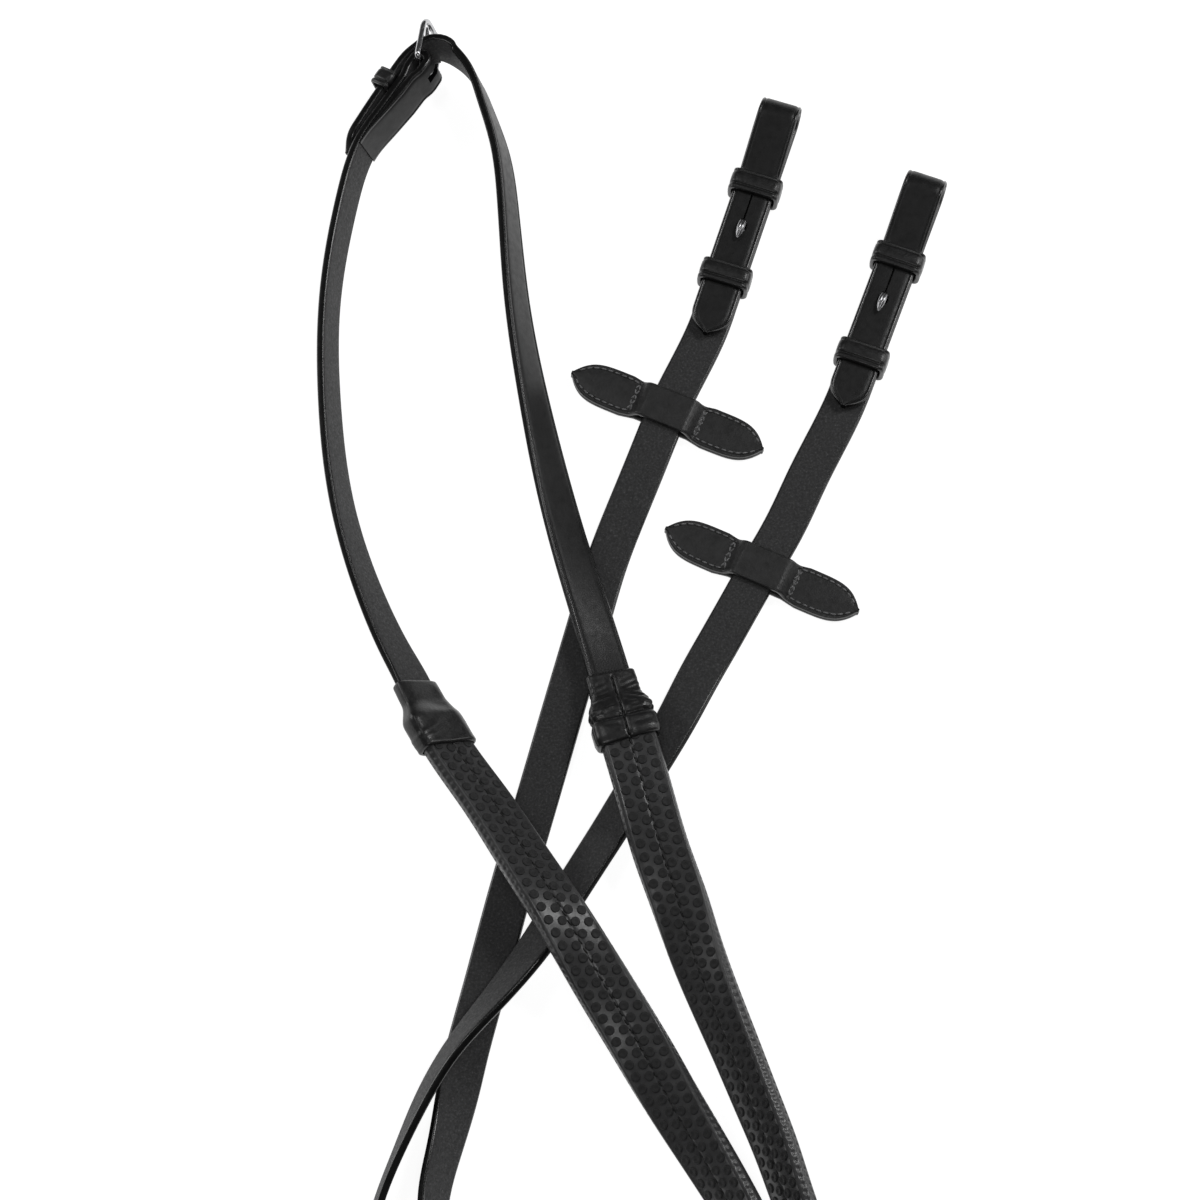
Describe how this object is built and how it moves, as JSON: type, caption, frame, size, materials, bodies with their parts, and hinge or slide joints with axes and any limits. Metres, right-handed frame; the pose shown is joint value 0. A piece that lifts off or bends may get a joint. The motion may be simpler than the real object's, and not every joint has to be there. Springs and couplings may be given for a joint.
{
  "type": "riding reins",
  "caption": "Leather riding reins with rubber hand grips, sliding rein stops, hook stud billets at the bit ends and a buckle joining the halves.",
  "frame": {"origin": "middle of the footprint of the reins as they lie, on the surface they lie on", "axes": "+Z up from the surface, +Y towards the buckle and bit ends of the lying reins, +X to the right seen from above with +Y up"},
  "size_m": [0.2453, 0.643, 0.0269],
  "materials": {
    "strap_leather": "smooth grain outside, matte flesh side inside",
    "trim_leather": "smooth, slightly polished",
    "grip_rubber": "dotted, semi-matte",
    "stud_steel": "polished",
    "buckle_steel": "polished"
  },
  "bodies": {
    "reins": {"left_rein_strap": "strap_leather", "right_rein_strap": "strap_leather", "left_rubber_grip": "grip_rubber", "right_rubber_grip": "grip_rubber", "left_upper_sleeve": "trim_leather", "left_lower_sleeve": "trim_leather", "right_upper_sleeve": "trim_leather", "right_lower_sleeve": "trim_leather", "left_billet_upper_keeper": "trim_leather", "left_billet_lower_keeper": "trim_leather", "right_billet_upper_keeper": "trim_leather", "right_billet_lower_keeper": "trim_leather", "left_hook_stud": "stud_steel", "right_hook_stud": "stud_steel", "left_stud_burr": "stud_steel", "right_stud_burr": "stud_steel", "buckle_keeper": "trim_leather"},
    "left_stop": {"left_stop_base": "trim_leather", "left_stop_top": "trim_leather"},
    "right_stop": {"right_stop_base": "trim_leather", "right_stop_top": "trim_leather"},
    "buckle_frame": {"buckle_frame": "buckle_steel"},
    "buckle_tongue": {"buckle_tongue": "buckle_steel"}
  },
  "joints": [
    {"name": "left_stop_slide", "type": "slide", "parent": "reins", "child": "left_stop", "axis": [0.3679, 0.9299, 0], "range_m": [-0.014, 0.018]},
    {"name": "right_stop_slide", "type": "slide", "parent": "reins", "child": "right_stop", "axis": [0.4801, 0.8772, 0], "range_m": [-0.024, 0.01]},
    {"name": "buckle_frame_pivot", "type": "hinge", "parent": "reins", "child": "buckle_frame", "pos_m": [-0.0827, 0.3003, 0.0138], "axis": [-0.28, 0.12, 0.9525], "range_deg": [-5, 5]},
    {"name": "buckle_tongue_pivot", "type": "hinge", "parent": "buckle_frame", "child": "buckle_tongue", "pos_m": [-0.0827, 0.3003, 0.0138], "axis": [-0.28, 0.12, 0.9525], "range_deg": [0, 4]}
  ]
}
